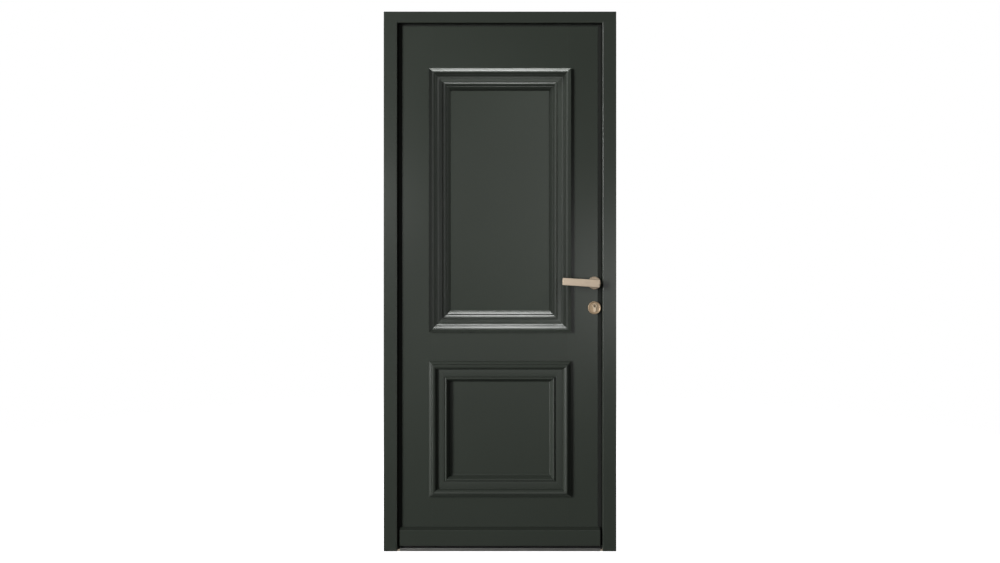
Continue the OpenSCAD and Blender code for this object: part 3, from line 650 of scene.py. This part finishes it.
# ------------------------------------------------------------------ floor, world, lights, camera
floor_mat = bpy.data.materials.new("pale_floor")
floor_mat.use_nodes = True
nt = floor_mat.node_tree
nt.nodes.clear()
out = node(nt, "ShaderNodeOutputMaterial")
matt = node(nt, "ShaderNodeBsdfDiffuse")
matt.inputs["Color"].default_value = (0.55, 0.55, 0.55, 1)
glow = node(nt, "ShaderNodeEmission")
glow.inputs["Strength"].default_value = 1.0
both = node(nt, "ShaderNodeAddShader")
clear = node(nt, "ShaderNodeBsdfTransparent")
fade = node(nt, "ShaderNodeMixShader")
far = node(nt, "ShaderNodeVectorMath", operation="LENGTH")
nt.links.new(coords(nt), far.inputs[0])
nt.links.new(matt.outputs[0], both.inputs[0])
nt.links.new(glow.outputs[0], both.inputs[1])
nt.links.new(remap(nt, far.outputs["Value"], 1.4, 4.0, 0.0, 1.0), fade.inputs[0])
nt.links.new(both.outputs[0], fade.inputs[1])
nt.links.new(clear.outputs[0], fade.inputs[2])
nt.links.new(fade.outputs[0], out.inputs[0])

bm = bmesh.new()
bmesh.ops.create_circle(bm, cap_ends=True, segments=96, radius=4.2)
floor_mesh = bpy.data.meshes.new("floor")
bm.to_mesh(floor_mesh)
bm.free()
floor = bpy.data.objects.new("floor", floor_mesh)
floor.location = (0, 0, -0.0004)
floor_mesh.materials.append(floor_mat)
scene.collection.objects.link(floor)
floor.visible_diffuse = False
floor.visible_glossy = False

world = bpy.data.worlds.new("studio")
scene.world = world
world.use_nodes = True
nt = world.node_tree
nt.nodes.clear()
out = node(nt, "ShaderNodeOutputWorld")
white = node(nt, "ShaderNodeBackground")
white.inputs["Color"].default_value = (1, 1, 1, 1)
white.inputs["Strength"].default_value = 1.0
dim = node(nt, "ShaderNodeBackground")
dim.inputs["Color"].default_value = (1, 1, 1, 1)
dim.inputs["Strength"].default_value = 0.022
path = node(nt, "ShaderNodeLightPath")
pick = node(nt, "ShaderNodeMixShader")
nt.links.new(path.outputs["Is Camera Ray"], pick.inputs[0])
nt.links.new(dim.outputs[0], pick.inputs[1])
nt.links.new(white.outputs[0], pick.inputs[2])
nt.links.new(pick.outputs[0], out.inputs[0])

CENTRE = Vector((0, -0.03, 1.15))


def softbox(name, azimuth, elevation, distance, width, height, radiance, only=None, aim=CENTRE, spread=180.0):
    """A rectangular light; azimuth is 0 in front of the door and positive to the right."""
    a, e = math.radians(azimuth), math.radians(elevation)
    back = Vector((math.sin(a) * math.cos(e), -math.cos(a) * math.cos(e), math.sin(e)))
    data = bpy.data.lights.new(name, "AREA")
    data.shape = "RECTANGLE"
    data.size, data.size_y = width, height
    data.energy = radiance * math.pi * width * height
    data.spread = math.radians(spread)
    lamp = bpy.data.objects.new(name, data)
    lamp.location = aim + back * distance
    lamp.rotation_mode = "QUATERNION"
    lamp.rotation_quaternion = back.to_track_quat("Z", "Y")
    lamp.visible_camera = False
    scene.collection.objects.link(lamp)
    if only is not None:
        lamp.light_linking.receiver_collection = only
    return lamp


def group(name, objects, state):
    """A set of receivers that a light reaches alone, or leaves out."""
    found = bpy.data.collections.new(name)
    for o in objects:
        found.objects.link(o)
    for link in found.collection_objects:
        link.light_linking.link_state = state
    return found


insert = UPPER_PIECES + [NODES["upper_panel"]]
insert_only = group("insert_only", insert, "INCLUDE")
mouldings_only = group("mouldings_only", UPPER_PIECES, "INCLUDE")
field_only = group("field_only", [NODES["upper_panel"]], "INCLUDE")
uprights_only = group("uprights_only", [o for o in UPPER_PIECES if "left" in o.name or "right" in o.name], "INCLUDE")
not_left = group("not_left", [o for o in UPPER_PIECES if "left" not in o.name], "INCLUDE")
head_only = group("head_only", [o for o in UPPER_PIECES if "top" in o.name], "INCLUDE")
foot_only = group("foot_only", [o for o in UPPER_PIECES if "bottom" in o.name], "INCLUDE")
not_insert = group("not_insert", insert, "EXCLUDE")

HIGH = Vector((0, -0.03, 1.65))
softbox("key_left", -48, 10, 9.0, 2.0, 4.0, 15.2, not_insert, HIGH)
softbox("key_side", -55, 10, 9.0, 2.0, 4.0, 4.7, not_insert, HIGH)
softbox("key_high", -48, 4, 9.0, 2.0, 4.0, 1.5, not_insert, HIGH, 50.0)
softbox("front_left", -22, 8, 3.2, 0.4, 0.4, 8.0)
softbox("front_right", 20, -3, 3.2, 0.8, 0.8, 3.2)
softbox("front_mid", 0, -6, 3.4, 1.4, 1.4, 0.42, not_insert)
softbox("back_right", 122, 16, 5.0, 3.0, 3.0, 2.0)
softbox("back_left", -122, 16, 5.0, 3.0, 3.0, 2.0)
softbox("back_high", 180, 24, 5.0, 5.0, 3.0, 1.8)
softbox("insert_fill", 25, 30, 5.0, 1.6, 1.6, 3.9, insert_only)
softbox("insert_side", 50, 36, 5.0, 1.6, 1.6, 5.6, insert_only)
softbox("insert_left", -50, 20, 5.0, 1.6, 1.6, 2.4, insert_only)
softbox("field_front_left", -25, 8, 5.0, 1.6, 1.6, 2.5, field_only)
softbox("moulding_front_left", -25, 8, 5.0, 1.6, 1.6, 0.2, mouldings_only)
softbox("field_front_right", 25, 8, 5.0, 1.6, 1.6, 4.6, field_only)
softbox("moulding_front_right", 25, 8, 5.0, 1.6, 1.6, 0.8, mouldings_only)
softbox("moulding_wing_left", -66, 0, 5.0, 2.0, 2.4, 1.6, uprights_only)
softbox("moulding_wing_right", 66, 0, 5.0, 2.0, 2.4, 1.1, uprights_only)
softbox("moulding_under", 0, -60, 1.5, 0.9, 0.5, 4.0, foot_only, Vector((0, -0.03, 1.4)))
softbox("insert_front", 0, 0, 5.0, 1.6, 1.6, 0.65, insert_only)
softbox("insert_low", 0, -28, 2.2, 0.9, 0.7, 3.6, not_left, Vector((0, -0.03, 1.4)))
softbox("moulding_head", 0, 35, 5.0, 1.6, 1.6, 10.0, head_only)
softbox("overhead", 0, 66, 2.6, 0.9, 0.7, 13.0, not_left)
softbox("overhead_high", 0, 80, 2.6, 0.9, 0.7, 25.0, not_left)
softbox("overhead_back", 0, 94, 2.6, 0.9, 0.7, 4.0, not_left)

cam_data = bpy.data.cameras.new("camera")
cam_data.sensor_width = 36.0
cam_data.lens = 31.46
cam_data.shift_y = -0.0287
cam = bpy.data.objects.new("camera", cam_data)
cam.location = (0, -3.562, 1.2)
cam.rotation_euler = (math.radians(90), 0, 0)
scene.collection.objects.link(cam)
scene.camera = cam
scene.view_settings.view_transform = "Standard"
